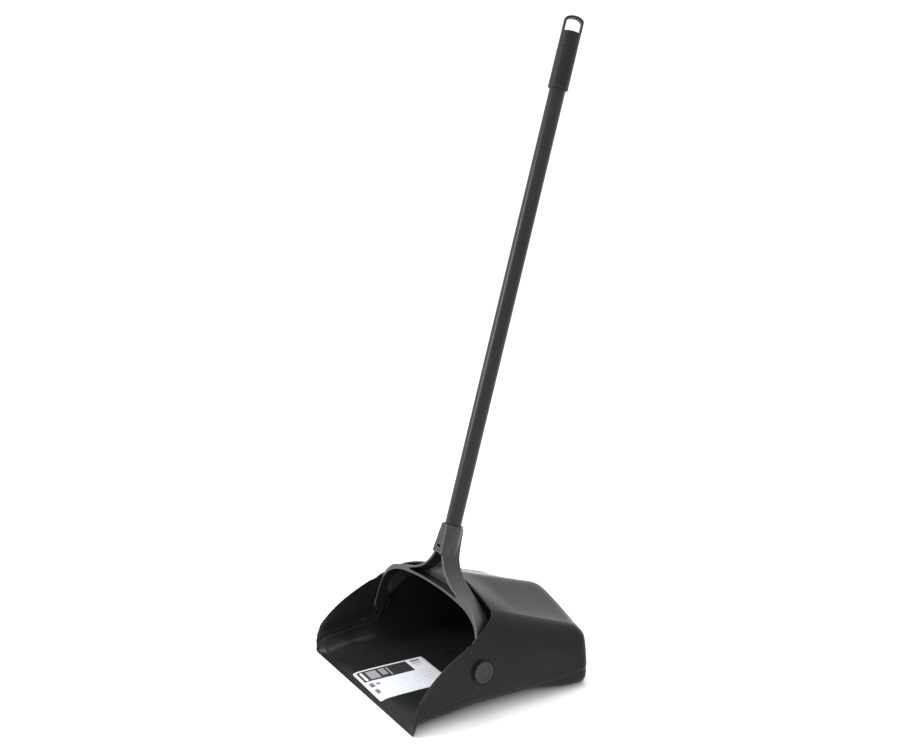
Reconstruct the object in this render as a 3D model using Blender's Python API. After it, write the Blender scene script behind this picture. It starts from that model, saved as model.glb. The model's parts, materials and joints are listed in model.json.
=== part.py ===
"""Upright lobby dustpan: a moulded hooded pan on a long handle, hinged by a yoke.

Metres, +Z up. The pan stands on Z = 0, its mouth faces -Y, and X = 0 is its middle plane.
The origin lies on the floor, at the middle of the whole object's footprint.
"""
import math

import bmesh
import bpy
from mathutils import Euler, Vector

# ---- driving dimensions ----------------------------------------------------------------
LIP_Y = -0.1811               # where the lip touches the floor
PAN_DEPTH = 0.280             # lip to the back wall's ends, beside the side walls
BACK_BULGE = 0.030            # the back wall bows out this far further in the middle
BULGE_START = 0.160
PAN_WALL = 0.0026
WALL_X_FRONT = 0.1425         # outer half width of the hooded part, at the lip and at the back
WALL_X_BACK = 0.1468
FLARE = 0.0045                # how far the wings turn out along their front edge
WING_TOP_DEPTH = 0.090        # the wings' front edge ends here, at this height
WING_TOP_Z = 0.097
WING_CURVE = 2.5              # how late their front edge turns back
RAMP_RISE = 0.0045            # beside the walls the floor's underside rises to a low crest
RAMP_CREST = 0.045
FLOOR_LIFT = 0.0026           # it sinks to this height by FLOOR_LEVEL
FLOOR_RISE = 0.020            # in the middle it has the same height this far behind the lip
FLOOR_LEVEL = 0.110
HEEL_START = 0.190            # and from here it comes down
HEEL_DEPTH = 0.245            # to the flat heel that the pan stands on
FILLET_LIP = 0.004            # rounding between floor and walls: at the lip, just behind it,
FILLET_FRONT = 0.026          # along the middle and at the back
FILLET_MIDDLE = 0.040
FILLET_BACK = 0.017
CROWN_Z = 0.1435              # hood crown and hood shoulder at their front edges
CROWN_DEPTH = 0.145
CROWN_FALL = 0.323            # how much each drops for each metre further back
SHOULDER_Z = 0.124
SHOULDER_DEPTH = 0.1428
SHOULDER_FALL = 0.341
SHOULDER_X_FRONT = 0.1075
SHOULDER_X_BACK = 0.118
BACK_ROUND = 0.012            # rounding between the sides and the back wall
TOP_ROUND = 0.022             # and between the hood and the back wall
WING_RAISE = 0.0009           # the wing panels stand this far outside the hood's sides

PIVOT_DEPTH = 0.105           # the hinge axis, behind the lip and above the floor
PIVOT_Z = 0.0606
LEAN = math.radians(15.9)     # the handle leans back this far against its stop
GAP = 0.0003                  # clearance between pieces that touch

STRAP_FRONT = 0.013           # the yoke's straps reach this far ahead of the handle's axis
STRAP_BACK = 0.0155           # and this far behind it
STRAP_TIP = -0.0150           # their lower ends, narrowed to a rounded tip
CREASE = 0.001                # their inner faces turn inwards behind this depth
SOCKET_TOP = 0.1558           # distances along the handle from the hinge axis
SOCKET_FOOT = 0.1138
BORE_TOP = 0.165
TUBE_R = 0.0110
TUBE_WALL = 0.0012
TUBE_FOOT = 0.1203
TUBE_TOP = 0.8698
SLEEVE_R = 0.0118
GRIP_R = 0.0146
GRIP_FOOT = 0.7922
GRIP_TOP = 0.8522
CAP_TOP = 0.8754
LOOP_TOP = 0.8998
LOOP_TURN = math.radians(27)  # the hanging loop is turned this far about the handle

POCKET_FLOOR = 0.0065         # the web between the legs lies between these two depths
POCKET_BACK = 0.0095
RIB_HALF = 0.012              # stop rib behind the web
RIB_FOOT = 0.0698
RIB_TOP = 0.0898
RIB_BACK = 0.0186

EAR_R = 0.0140
EAR_X = 0.1369                # middle of the ears' thickness
EAR_HALF = 0.0022
EAR_LOW = -0.002              # the ears' centres lie a little below the axis
EAR_HOLE_X = 0.1362           # the rivets' holes in the ears start here
RIVET_SHAFT_R = 0.0070
RIVET_SHAFT = 0.0078          # length inside the wall's outer face
RIVET_HEAD_R = 0.0143
RIVET_HEAD = 0.0046
BOSS_R = 0.0175

LABEL_WIDTH = 0.091
LABEL_LENGTH = 0.110
LABEL_X = 0.0020              # its middle
LABEL_DEPTH = 0.0630
LABEL_TURN = math.radians(-1.5)
LABEL_THICK = 0.0004
LABEL_GAP = 0.0008            # over the floor, whose grid follows the crest in flat steps

SLOT_HALF = 0.0046            # tab slot in the front of the handle socket
SLOT_FOOT = 0.1228
SLOT_TOP = 0.1260

BODY_ROWS = 10                # grid density of the pan
BODY_STATIONS = 26


# ---- small helpers ----------------------------------------------------------------------
def smooth(value):
    """Zero below 0, one above 1, and an S-curve between."""
    value = min(1.0, max(0.0, value))
    return value * value * (3.0 - 2.0 * value)


def mix(first, second, share):
    return first + (second - first) * share


def clear_scene():
    for thing in list(bpy.data.objects):
        bpy.data.objects.remove(thing, do_unlink=True)


def make_material(name, colour, roughness, metallic=0.0):
    material = bpy.data.materials.new(name)
    material.use_nodes = True
    shader = material.node_tree.nodes["Principled BSDF"]
    shader.inputs["Base Color"].default_value = (*colour, 1.0)
    shader.inputs["Roughness"].default_value = roughness
    shader.inputs["Metallic"].default_value = metallic
    return material


def add_object(name, mesh, material=None, parent=None):
    thing = bpy.data.objects.new(name, mesh)
    bpy.context.scene.collection.objects.link(thing)
    thing.parent = parent
    if material:
        mesh.materials.append(material)
    return thing


def finish_mesh(mesh, sharp_degrees=35):
    mesh.shade_smooth()
    mesh.set_sharp_from_angle(angle=math.radians(sharp_degrees))


def mesh_from(name, points, faces):
    shape = bmesh.new()
    corners = [shape.verts.new(point) for point in points]
    for face in faces:
        shape.faces.new([corners[index] for index in face])
    bmesh.ops.recalc_face_normals(shape, faces=shape.faces)
    mesh = bpy.data.meshes.new(name)
    shape.to_mesh(mesh)
    shape.free()
    finish_mesh(mesh)
    return mesh


def turned(name, profile, steps=32):
    """A closed solid of revolution about local Z from a (radius, height) profile.

    A profile that starts and ends on the axis makes a solid rod; any other makes a ring.
    """
    solid = profile[0][0] == 0.0
    count = len(profile)
    shape = bmesh.new()
    columns = []
    for step in range(steps):
        angle = 2.0 * math.pi * step / steps
        columns.append([shape.verts.new((radius * math.cos(angle), radius * math.sin(angle),
                                         height)) for radius, height in profile])
    for step in range(steps):
        here = columns[step]
        following = columns[(step + 1) % steps]
        for index in range(count - 1 if solid else count):
            after = (index + 1) % count
            shape.faces.new((here[index], following[index], following[after], here[after]))
    bmesh.ops.remove_doubles(shape, verts=shape.verts, dist=1e-6)
    bmesh.ops.recalc_face_normals(shape, faces=shape.faces)
    mesh = bpy.data.meshes.new(name)
    shape.to_mesh(mesh)
    shape.free()
    finish_mesh(mesh)
    return mesh


def loft(name, rings):
    """A closed solid through rings of equal length, with flat ends."""
    count = len(rings[0])
    points = [point for ring in rings for point in ring]
    faces = [tuple(range(count)), tuple(range((len(rings) - 1) * count, len(rings) * count))]
    for level in range(len(rings) - 1):
        for index in range(count):
            after = (index + 1) % count
            faces.append((level * count + index, level * count + after,
                          (level + 1) * count + after, (level + 1) * count + index))
    return mesh_from(name, points, faces)


def curve_through(points, steps=4):
    """A smooth line through the points: a Catmull-Rom spline, first to last."""
    line = []
    for index in range(len(points) - 1):
        a = Vector(points[max(index - 1, 0)])
        b = Vector(points[index])
        c = Vector(points[index + 1])
        d = Vector(points[min(index + 2, len(points) - 1)])
        for step in range(steps):
            t = step / steps
            line.append(0.5 * ((2 * b) + (c - a) * t + (2 * a - 5 * b + 4 * c - d) * t * t
                               + (3 * b - a - 3 * c + d) * t ** 3))
    line.append(Vector(points[-1]))
    return line


def boolean(target, tool, operation):
    cut = target.modifiers.new(operation.title(), "BOOLEAN")
    cut.operation = operation
    cut.solver = "EXACT"
    cut.object = tool
    tool.hide_render = True
    tool.display_type = "WIRE"


# ---- pan body ---------------------------------------------------------------------------
def floor_height(share, depth):
    """Underside of the floor at a share of the way from its middle to the fillets.

    In the middle it is level behind the lip; beside the walls it has a low crest first.
    """
    crest = RAMP_RISE * smooth(depth / RAMP_CREST)
    level = smooth((depth - RAMP_CREST) / (FLOOR_LEVEL - RAMP_CREST))
    beside = mix(crest, FLOOR_LIFT, level)
    heel = smooth((depth - HEEL_START) / (HEEL_DEPTH - HEEL_START))
    return mix(FLOOR_LIFT * smooth(depth / FLOOR_RISE), beside, share * share) * (1.0 - heel)


def floor_fillet(depth):
    """Radius between the floor and the walls: sharp at the lip, fullest in the middle."""
    front = mix(FILLET_LIP, FILLET_FRONT, smooth(depth / 0.012))
    middle = (FILLET_MIDDLE - FILLET_FRONT) * smooth((depth - 0.050) / 0.060)
    back = (FILLET_MIDDLE - FILLET_BACK) * smooth((depth - 0.175) / 0.100)
    return front + middle - back


def wall_half_width(depth):
    return mix(WALL_X_FRONT, WALL_X_BACK, depth / PAN_DEPTH)


def shoulder(depth):
    behind = max(0.0, depth - SHOULDER_DEPTH) / (PAN_DEPTH - SHOULDER_DEPTH)
    across = mix(SHOULDER_X_FRONT, SHOULDER_X_BACK, behind)
    return across, SHOULDER_Z - SHOULDER_FALL * (depth - SHOULDER_DEPTH)


def hood_top(share, depth):
    """Height of the hood at a share of the way from the crown to the shoulder."""
    front_shape = 1.0 - share * share
    ridge = 0.08
    roof = (math.hypot(share, ridge) - ridge) / (math.hypot(1.0, ridge) - ridge)
    back_shape = (1.0 - min(1.0, roof)) ** 1.35
    wave = smooth((depth - 0.135) / 0.060)
    crown = CROWN_Z - CROWN_FALL * (depth - CROWN_DEPTH)
    side = shoulder(depth)[1]
    return side + (crown - side) * mix(front_shape, back_shape, wave)


def wing_edge_depth(height):
    """Front edge of the wings, then of the hood's sides, as depth at each height."""
    if height <= WING_TOP_Z:
        return WING_TOP_DEPTH * (max(height, 0.0) / WING_TOP_Z) ** WING_CURVE
    along = (height - WING_TOP_Z) / (SHOULDER_Z - WING_TOP_Z)
    return mix(WING_TOP_DEPTH, SHOULDER_DEPTH, along)


def hood_edge_depth(height):
    """Front edge of the hood's top, parallel to the leaning yoke."""
    rise = (height - SHOULDER_Z) * math.tan(LEAN)
    return SHOULDER_DEPTH + rise


def section_rows():
    """The rows of the pan's half section, floor centre to crown, as (part, share)."""
    rows = [("floor", share / 5) for share in range(5)]
    rows += [("fillet", share / 5) for share in range(5)]
    rows += [("wall", share / BODY_ROWS) for share in range(BODY_ROWS)]
    rows += [("top", 1.0 - share / 10) for share in range(11)]
    return rows


def section_point(part, share, depth):
    """Outer surface of the right half at one depth, as (x, z)."""
    base = floor_height(1.0, depth)
    half = wall_half_width(depth)
    fillet = floor_fillet(depth)
    if part == "floor":
        return (half - fillet) * share, floor_height(share, depth)
    if part == "fillet":
        angle = math.radians(90.0 * share)
        return half - fillet * (1.0 - math.sin(angle)), base + fillet * (1.0 - math.cos(angle))
    shoulder_x, shoulder_z = shoulder(depth)
    if part == "top":
        return shoulder_x * share, hood_top(share, depth)
    low = base + fillet
    swing = smooth((depth - 0.10) / 0.17)
    turn_z = shoulder_z - mix(0.014, 0.003, swing)
    keep = (1.0 - share) ** 2
    pull = 2.0 * share * (1.0 - share)
    x = half * (keep + pull) + shoulder_x * share * share
    z = low * keep + mix(low, turn_z, 0.95) * pull + shoulder_z * share * share
    return x, z


def edge_depth(part, share):
    """Depth at which a row of the section meets the front edge."""
    if part == "floor":
        return 0.0
    low, high = 0.0, 0.20
    for _ in range(30):
        middle = 0.5 * (low + high)
        height = section_point(part, share, middle)[1]
        edge = hood_edge_depth(height) if part == "top" else wing_edge_depth(height)
        if middle < edge:
            low = middle
        else:
            high = middle
    return 0.5 * (low + high)


def raised_share(depth, height):
    """One on the wing panels, falling to zero across the ledge around them."""
    above = smooth((height - 0.024 - 0.09 * depth) / 0.003 + 0.5)
    limit = 0.1035 - 0.0135 * smooth((height - 0.076) / 0.020)
    ahead = smooth((limit - depth) / 0.003 + 0.5)
    off_boss = smooth((math.hypot(depth - PIVOT_DEPTH, height - PIVOT_Z) - BOSS_R) / 0.002)
    return above * ahead * off_boss


def bowed(part, share, depth):
    """The depth moved back by the bow of the back wall: most in the middle, none at the sides."""
    across = section_point(part, share, depth)[0] / wall_half_width(depth)
    near_back = smooth((depth - BULGE_START) / (PAN_DEPTH - BULGE_START))
    return depth + BACK_BULGE * (1.0 - min(1.0, across) ** 2) * near_back


def shell_point(part, share, depth, start):
    """Outer surface of the pan in world axes, with the wings' flare and ledge."""
    depth = bowed(part, share, depth)
    x, z = section_point(part, share, depth)
    if part in ("wall", "fillet"):
        away = max(0.0, depth - start)
        low_share = 1.0 - smooth((z - 0.030) / 0.060)
        x += FLARE * math.exp(-away / 0.008) * low_share
        x += WING_RAISE * raised_share(depth, z)
    return Vector((x, LIP_Y + depth, z))


def back_round(part, share):
    """Radius with which a row turns into the back wall."""
    if part == "top":
        return TOP_ROUND
    if part == "wall":
        return mix(BACK_ROUND, TOP_ROUND, smooth((share - 0.6) / 0.4))
    return BACK_ROUND


def station_depths(start, end):
    """Depths of one row's points, closest together at the edge and around the hinge."""
    depths = []
    for index in range(BODY_STATIONS):
        share = index / (BODY_STATIONS - 1)
        depths.append(mix(start, end, share ** 1.25))
    return depths


def back_rings(rows):
    """The sides' last section rounded in towards the back wall, then the wall itself."""
    middle_z = 0.055
    rings = []
    for degrees in (30, 60, 90):
        angle = math.radians(degrees)
        ring = []
        for part, share in rows:
            radius = back_round(part, share)
            depth = bowed(part, share, PAN_DEPTH) - radius * (1.0 - math.sin(angle))
            x, z = section_point(part, share, depth)
            inward = Vector((min(0.0, 0.090 - x), middle_z - z))
            inward = inward.normalized() if inward.length > 0.001 else Vector((0.0, 1.0))
            inward *= radius * (1.0 - math.cos(angle))
            ring.append(Vector((x + inward.x, LIP_Y + depth, z + inward.y)))
        rings.append(ring)
    for share in (0.35, 0.7):
        ring = []
        for rim in rings[2]:
            x = mix(rim.x, 0.0, share)
            bow = BACK_BULGE * (1.0 - (x / WALL_X_BACK) ** 2)
            ring.append(Vector((x, LIP_Y + PAN_DEPTH + bow, mix(rim.z, middle_z, share))))
        rings.append(ring)
    return rings


def pan_skin():
    """The pan's outer skin as points and faces, both halves, open at the front."""
    rows = section_rows()
    columns = []
    for part, share in rows:
        start = edge_depth(part, share)
        end = PAN_DEPTH - back_round(part, share)
        columns.append([shell_point(part, share, depth, start)
                        for depth in station_depths(start, end)])
    for ring in back_rings(rows):
        for column, point in zip(columns, ring):
            column.append(point)
    mirrored = [[Vector((-p.x, p.y, p.z)) for p in column] for column in columns[-2:0:-1]]
    around = columns + mirrored
    length = len(around[0])
    points = [point for column in around for point in column]
    faces = []
    for index in range(len(around)):
        after = (index + 1) % len(around)
        for step in range(length - 1):
            faces.append((index * length + step, after * length + step,
                          after * length + step + 1, index * length + step + 1))
    middle = len(points)
    points.append(Vector((0.0, LIP_Y + PAN_DEPTH + BACK_BULGE, 0.055)))
    for index in range(len(around)):
        after = (index + 1) % len(around)
        faces.append((index * length + length - 1, after * length + length - 1, middle))
    return points, faces


def make_pan(plastic):
    points, faces = pan_skin()
    mesh = mesh_from("pan_body", points, faces)
    pan = add_object("pan_body", mesh, plastic)
    wall = pan.modifiers.new("Wall", "SOLIDIFY")
    wall.thickness = PAN_WALL
    wall.offset = -1.0
    for side in (-1, 1):
        hole = turned(f"hinge_hole_{side}", rod_profile(0.0, RIVET_SHAFT_R + GAP, 0.03), 24)
        cutter = add_object(f"hinge_hole_{side}", hole)
        cutter.location = (side * wall_half_width(PIVOT_DEPTH), LIP_Y + PIVOT_DEPTH, PIVOT_Z)
        cutter.rotation_euler = (0.0, math.pi / 2, 0.0)
        boolean(pan, cutter, "DIFFERENCE")
    return pan


# ---- yoke -------------------------------------------------------------------------------
def rod_profile(foot, radius, half_length):
    """Half profile of a plain rod about local Z."""
    return [(0.0, foot - half_length), (radius, foot - half_length),
            (radius, foot + half_length), (0.0, foot + half_length)]


def frame_outline(place):
    """Half outline of the yoke's frame, outer line then inner line, as (x, height).

    place is 0 at the front face, 1 at the crease and 2 at the rear face. The outer line
    swells in the middle where it runs up into the handle socket. The inner line keeps its
    front shape as far as the crease and turns in behind it.
    """
    outer_front = [(0.0080, 0.1520), (0.0092, 0.1370), (0.0105, 0.1230), (0.0138, 0.1105),
                   (0.0245, 0.0958), (0.0405, 0.0848), (0.0615, 0.0763), (0.0870, 0.0703),
                   (0.1085, 0.0643), (0.1218, 0.0553), (0.1298, 0.0445), (0.1348, 0.0320),
                   (0.1376, 0.0180), (0.1388, -0.0020), (0.1388, STRAP_TIP)]
    outer_back = [(0.0072, 0.1520), (0.0085, 0.1370), (0.0105, 0.1230), (0.0140, 0.1105),
                  (0.0240, 0.0983), (0.0410, 0.0878), (0.0645, 0.0783), (0.0860, 0.0698),
                  (0.1050, 0.0605), (0.1185, 0.0500), (0.1270, 0.0390), (0.1335, 0.0260),
                  (0.1370, 0.0120), (0.1388, -0.0020), (0.1388, STRAP_TIP)]
    inner_front = [(0.1338, STRAP_TIP), (0.1338, -0.0020), (0.1334, 0.0150), (0.1312, 0.0295),
                   (0.1255, 0.0420), (0.1145, 0.0525), (0.0910, 0.0617), (0.0600, 0.0662),
                   (0.0300, 0.0685), (0.0, 0.0692)]
    inner_back = [(0.1338, STRAP_TIP), (0.1338, -0.0020), (0.1322, 0.0100), (0.1275, 0.0240),
                  (0.1195, 0.0355), (0.1080, 0.0455), (0.0880, 0.0547), (0.0600, 0.0608),
                  (0.0300, 0.0638), (0.0, 0.0648)]
    swell = [0.0136, 0.0137, 0.0138, 0.0146]
    outer = []
    for index, (front, back) in enumerate(zip(outer_front, outer_back)):
        point = Vector(front).lerp(Vector(back), 0.5 * place)
        if place == 1 and index < len(swell):
            point.x = swell[index]
        outer.append(point)
    inner = [Vector(a).lerp(Vector(b), max(0, place - 1))
             for a, b in zip(inner_front, inner_back)]
    return curve_through(outer, 3) + curve_through(inner, 3)


def full_ring(half, depth):
    """A half outline and its mirror image as one closed ring at one local depth."""
    right = [Vector((p.x, depth, p.y)) for p in half]
    left = [Vector((-p.x, depth, p.y)) for p in reversed(half) if p.x > 1e-6]
    return right + left


def tip_cutter(name, outline):
    """Bar across both straps with the given (depth, height) outline, to trim their ends."""
    return loft(name, [[Vector((x, depth, height)) for depth, height in outline]
                       for x in (-0.16, 0.16)])


def pocket_outline():
    """Half outline of the pocket between the legs and the arch."""
    points = [(0.0, 0.0727), (0.030, 0.0721), (0.055, 0.0709), (0.0700, 0.0701),
              (0.0590, 0.0737), (0.0400, 0.0809), (0.0260, 0.0897), (0.0155, 0.1002),
              (0.0090, 0.1098), (0.0066, SOCKET_FOOT + 0.001), (0.0, SOCKET_FOOT + 0.001)]
    return [Vector(point) for point in points]


def socket_ring(height):
    """Section of the handle socket: flat front plate, chamfers, sides and a round back."""
    widen = (SOCKET_TOP - height) / (SOCKET_TOP - SOCKET_FOOT)
    plate = (mix(0.0068, 0.0120, widen), -mix(0.0148, 0.0168, widen))
    corner = (mix(0.0116, 0.0130, widen), -mix(0.0094, 0.0130, widen))
    side = (mix(0.0142, 0.0134, widen), -0.0010)
    back = [(0.0142 * math.cos(math.radians(a)), 0.0006 + 0.0148 * math.sin(math.radians(a)))
            for a in range(15, 166, 15)]
    left = [(-x, y) for x, y in (side, corner, plate)]
    return [Vector((x, y, height)) for x, y in [plate, corner, side] + back + left]


def make_yoke(plastic, hinge):
    frame = loft("yoke", [full_ring(frame_outline(place), depth) for place, depth in
                          enumerate((-STRAP_FRONT, CREASE, STRAP_BACK))])
    yoke = add_object("yoke", frame, plastic, hinge)

    def tool(name, mesh, operation):
        made = add_object(name, mesh, None, hinge)
        boolean(yoke, made, operation)
        return made

    tool("socket", loft("socket", [socket_ring(height) for height in
                                   (SOCKET_FOOT, SOCKET_TOP)]), "UNION")
    outline = pocket_outline()
    tool("front_pocket", loft("front_pocket", [full_ring(outline, depth) for depth in
                                               (-0.025, POCKET_FLOOR)]), "DIFFERENCE")
    tool("rear_pocket", loft("rear_pocket", [full_ring(outline, depth) for depth in
                                             (POCKET_BACK, 0.025)]), "DIFFERENCE")
    corners = ((-RIB_HALF, POCKET_FLOOR + 0.001), (RIB_HALF, POCKET_FLOOR + 0.001),
               (RIB_HALF, RIB_BACK), (-RIB_HALF, RIB_BACK))
    tool("stop_rib", loft("stop_rib", [[Vector((x, y, height)) for x, y in corners]
                                       for height in (RIB_FOOT, RIB_TOP)]), "UNION")
    half_bore = 0.5 * (BORE_TOP - TUBE_FOOT) + 0.001
    tool("socket_bore", turned("socket_bore", rod_profile(
        BORE_TOP - half_bore, SLEEVE_R + GAP, half_bore)), "DIFFERENCE")
    corners = ((-SLOT_HALF, -0.020), (SLOT_HALF, -0.020), (SLOT_HALF, -0.0115),
               (-SLOT_HALF, -0.0115))
    tool("tab_slot", loft("tab_slot", [[Vector((x, y, height)) for x, y in corners]
                                       for height in (SLOT_FOOT, SLOT_TOP)]), "DIFFERENCE")
    tool("tip_front", tip_cutter("tip_front", [
        (-0.0130, -0.0020), (-0.0112, -0.0080), (-0.0075, -0.0125), (-0.0030, -0.0146),
        (-0.0030, -0.0300), (-0.0300, -0.0300), (-0.0300, -0.0020)]), "DIFFERENCE")
    tool("tip_back", tip_cutter("tip_back", [
        (-0.0030, -0.0146), (0.0020, -0.0080), (0.0045, 0.0010), (0.0085, 0.0110),
        (0.0130, 0.0200), (0.0200, 0.0300), (0.0400, 0.0300), (0.0400, -0.0300),
        (-0.0030, -0.0300)]), "DIFFERENCE")
    for side in (-1, 1):
        ear = tool(f"ear_{side}", turned(f"ear_{side}", rod_profile(0.0, EAR_R, EAR_HALF)),
                   "UNION")
        ear.location = (side * EAR_X, 0.0, EAR_LOW)
        hole = tool(f"ear_hole_{side}", turned(f"ear_hole_{side}", rod_profile(
            0.0, RIVET_SHAFT_R + GAP, 0.01)), "DIFFERENCE")
        hole.location = (side * (EAR_HOLE_X + 0.01), 0.0, 0.0)
        ear.rotation_euler = hole.rotation_euler = (0.0, math.pi / 2, 0.0)
    return yoke


# ---- hinge rivets -----------------------------------------------------------------------
def rivet_profile():
    """Snap rivet along local +Z, outwards: a barbed shaft and a wide dished head."""
    dish = RIVET_HEAD - 0.0008
    return [(0.0, -RIVET_SHAFT), (RIVET_SHAFT_R - 0.0016, -RIVET_SHAFT),
            (RIVET_SHAFT_R, 0.0020 - RIVET_SHAFT), (RIVET_SHAFT_R, 0.0), (RIVET_HEAD_R, 0.0),
            (RIVET_HEAD_R, RIVET_HEAD - 0.0012), (RIVET_HEAD_R - 0.0012, RIVET_HEAD - 0.0001),
            (0.0100, RIVET_HEAD), (0.0092, dish), (0.0, dish)]


def make_rivets(plastic, hinge):
    face_x = wall_half_width(PIVOT_DEPTH) + GAP + 0.0002
    mesh = turned("pivot_rivet", rivet_profile(), 32)
    mesh.materials.append(plastic)
    for side, word in ((-1, "left"), (1, "right")):
        rivet = add_object(f"pivot_rivet_{word}", mesh, None, hinge)
        rivet.location = (side * face_x, 0.0, 0.0)
        rivet.rotation_euler = (0.0, side * math.pi / 2, 0.0)


# ---- handle -----------------------------------------------------------------------------
def pipe_profile(inner, outer, foot, top):
    return [(inner, foot), (outer, foot), (outer, top), (inner, top)]


def make_tube(metal, hinge):
    tube = turned("handle_tube", pipe_profile(TUBE_R - TUBE_WALL, TUBE_R, TUBE_FOOT, TUBE_TOP), 24)
    add_object("handle_tube", tube, metal, hinge)


def make_sleeve(vinyl, hinge):
    sleeve = turned("vinyl_sleeve", pipe_profile(
        TUBE_R + GAP, SLEEVE_R, TUBE_FOOT, TUBE_TOP), 32)
    add_object("vinyl_sleeve", sleeve, vinyl, hinge)


def make_foot_plug(plastic, hinge):
    """The plug in the tube's lower end, with the tab that shows in the socket's slot."""
    radius = TUBE_R - TUBE_WALL - GAP
    profile = [(0.0, TUBE_FOOT + 0.0006), (radius - 0.001, TUBE_FOOT + 0.0006),
               (radius, TUBE_FOOT + 0.0030), (radius, TUBE_FOOT + 0.0300),
               (0.0, TUBE_FOOT + 0.0300)]
    add_object("tube_foot_plug", turned("tube_foot_plug", profile, 24), plastic, hinge)


def make_grip(rubber, hinge):
    inner = SLEEVE_R + GAP
    profile = [(inner, GRIP_FOOT), (GRIP_R - 0.0010, GRIP_FOOT), (GRIP_R + 0.0004, GRIP_FOOT + 0.0012),
               (GRIP_R + 0.0004, GRIP_FOOT + 0.0030), (GRIP_R, GRIP_FOOT + 0.0040),
               (GRIP_R, GRIP_TOP - 0.0006), (GRIP_R - 0.0006, GRIP_TOP), (inner, GRIP_TOP)]
    add_object("hand_grip", turned("hand_grip", profile, 32), rubber, hinge)


def loop_outline(half, foot, spring, top, steps=10):
    """Half-round arch standing on two straight sides, in a plane, as a closed outline."""
    ring = [(-half, foot), (half, foot), (half, spring)]
    for step in range(1, steps):
        angle = math.pi * step / steps
        ring.append((half * math.cos(angle), spring + (top - spring) * math.sin(angle)))
    ring.append((-half, spring))
    return ring


def make_cap(plastic, hinge):
    """Hanging cap: a hollow plug over the tube's end, with a D-shaped loop on top."""
    low = GRIP_TOP + GAP
    radius = GRIP_R - 0.0001
    inner = SLEEVE_R + GAP
    body = turned("hang_cap", [
        (0.0, TUBE_TOP + GAP), (inner, TUBE_TOP + GAP), (inner, low), (radius, low),
        (radius, CAP_TOP - 0.0005), (radius - 0.0005, CAP_TOP), (0.0, CAP_TOP)], 32)
    cap = add_object("hang_cap", body, plastic, hinge)
    cap.rotation_euler = (0.0, 0.0, -LOOP_TURN)
    outer = loop_outline(radius, CAP_TOP - 0.004, LOOP_TOP - 0.0085, LOOP_TOP)
    inside = loop_outline(radius - 0.0034, CAP_TOP, LOOP_TOP - 0.0095, LOOP_TOP - 0.0032)
    arch = loft("cap_loop", [[Vector((x, y, z)) for y, z in outer] for x in (-0.0058, 0.0058)])
    window = loft("cap_window", [[Vector((x, y, z)) for y, z in inside] for x in (-0.02, 0.02)])
    keep = turned("cap_keep", rod_profile(0.0, radius, 1.0), 32)
    loop = add_object("cap_loop", arch, None, cap)
    trim = add_object("cap_keep", keep, None, cap)
    hole = add_object("cap_window", window, None, cap)
    boolean(loop, trim, "INTERSECT")
    boolean(loop, hole, "DIFFERENCE")
    boolean(cap, loop, "UNION")
    return cap


# ---- label ------------------------------------------------------------------------------
def label_point(across, along, lift):
    """A point of the label from its middle, lying on the floor and turned with the label."""
    x = LABEL_X + across * math.cos(LABEL_TURN) - along * math.sin(LABEL_TURN)
    depth = LABEL_DEPTH + across * math.sin(LABEL_TURN) + along * math.cos(LABEL_TURN)
    share = abs(x) / (wall_half_width(depth) - floor_fillet(depth))
    floor = floor_height(share, depth) + PAN_WALL
    return Vector((x, LIP_Y + depth, floor + LABEL_GAP + lift))


def make_label(paper):
    """Thin sticker lying on the floor just behind the lip."""
    half = 0.5 * LABEL_WIDTH
    steps = 12
    rings = []
    for step in range(steps + 1):
        along = mix(-0.5 * LABEL_LENGTH, 0.5 * LABEL_LENGTH, step / steps)
        rings.append([label_point(-half, along, 0.0), label_point(half, along, 0.0),
                      label_point(half, along, LABEL_THICK),
                      label_point(-half, along, LABEL_THICK)])
    add_object("info_label", loft("info_label", rings), paper)


# ---- assembly ---------------------------------------------------------------------------
def build():
    clear_scene()
    pan_plastic = make_material("pan_plastic", (0.020, 0.021, 0.021), 0.42)
    yoke_plastic = make_material("yoke_plastic", (0.022, 0.023, 0.023), 0.40)
    rivet_plastic = make_material("rivet_plastic", (0.014, 0.014, 0.015), 0.45)
    aluminium = make_material("tube_aluminium", (0.60, 0.61, 0.62), 0.35, 1.0)
    vinyl = make_material("sleeve_vinyl", (0.022, 0.022, 0.024), 0.34)
    rubber = make_material("grip_rubber", (0.016, 0.016, 0.016), 0.60)
    paper = make_material("label_paper", (0.86, 0.87, 0.88), 0.50)

    hinge = bpy.data.objects.new("handle_hinge", None)
    bpy.context.scene.collection.objects.link(hinge)
    hinge.location = (0.0, LIP_Y + PIVOT_DEPTH, PIVOT_Z)
    hinge.rotation_euler = Euler((-LEAN, 0.0, 0.0))

    make_pan(pan_plastic)
    make_yoke(yoke_plastic, hinge)
    make_rivets(rivet_plastic, hinge)
    make_tube(aluminium, hinge)
    make_sleeve(vinyl, hinge)
    make_foot_plug(rivet_plastic, hinge)
    make_grip(rubber, hinge)
    make_cap(rubber, hinge)
    make_label(paper)


build()
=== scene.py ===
"""Looks of the upright lobby dustpan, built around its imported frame.

Metres, in the frame's axes: +Z up, the mouth of the pan faces -Y, X = 0 is its middle plane.
"depth" is measured backwards from the lip. The pieces of the handle are drawn in the hinge's
own axes, x across, y backwards and z up along the handle, and then stood in place.
"""
import json
import math

import bmesh
import bpy
from mathutils import Matrix, Vector


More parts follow.
